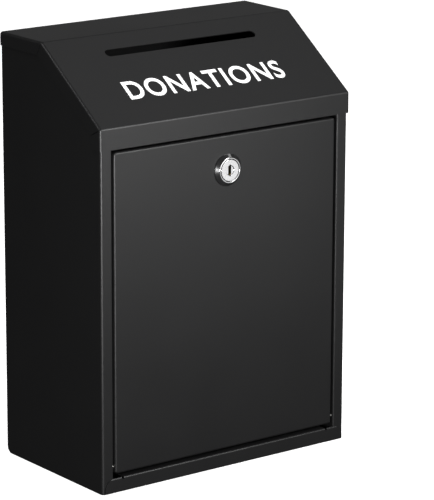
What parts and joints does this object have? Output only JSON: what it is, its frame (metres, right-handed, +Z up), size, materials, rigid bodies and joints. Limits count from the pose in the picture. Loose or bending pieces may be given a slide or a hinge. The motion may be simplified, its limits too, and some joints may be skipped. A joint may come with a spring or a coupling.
{
  "type": "donation box",
  "caption": "Black sheet-steel donation box with a sloping slotted hood, a drop-down front door and a cam lock.",
  "frame": {"origin": "on the surface the box stands on, under the middle of its width and of its whole depth with the lock's bezel", "axes": "+X to the box's right as seen from the front, +Y towards the wall, +Z up; the door and lock face -Y"},
  "size_m": [0.22, 0.124, 0.312],
  "materials": {
    "powder_coat": "smooth satin black powder coat on steel",
    "door_powder_coat": "smooth satin black powder coat on steel",
    "chrome": "polished chrome plate on die-cast zinc",
    "zinc_plate": "bright zinc plate on steel",
    "brass": "stamped brass"
  },
  "bodies": {
    "cabinet": {"hood": "powder_coat", "left_side_panel": "powder_coat", "right_side_panel": "powder_coat", "back_and_floor": "powder_coat", "door_header": "powder_coat", "hinge_pin_left": "zinc_plate", "hinge_pin_right": "zinc_plate"},
    "door": {"door_panel": "door_powder_coat", "lock_housing": "chrome", "lock_washer": "zinc_plate", "lock_nut": "zinc_plate"},
    "lock_core": {"lock_plug": "chrome", "wafer_1": "brass", "wafer_2": "brass", "wafer_3": "brass", "wafer_4": "brass", "wafer_5": "brass", "stop_washer": "zinc_plate", "cam_latch": "zinc_plate", "cam_washer": "zinc_plate", "cam_screw": "zinc_plate"}
  },
  "joints": [
    {"name": "door_hinge", "type": "hinge", "parent": "cabinet", "child": "door", "pos_m": [0, -0.05565, 0.0186], "axis": [1, 0, 0], "range_deg": [0, 90]},
    {"name": "lock_turn", "type": "hinge", "parent": "door", "child": "lock_core", "pos_m": [0, -0.05885, 0.2195], "axis": [0, 1, 0], "range_deg": [0, 90]}
  ]
}
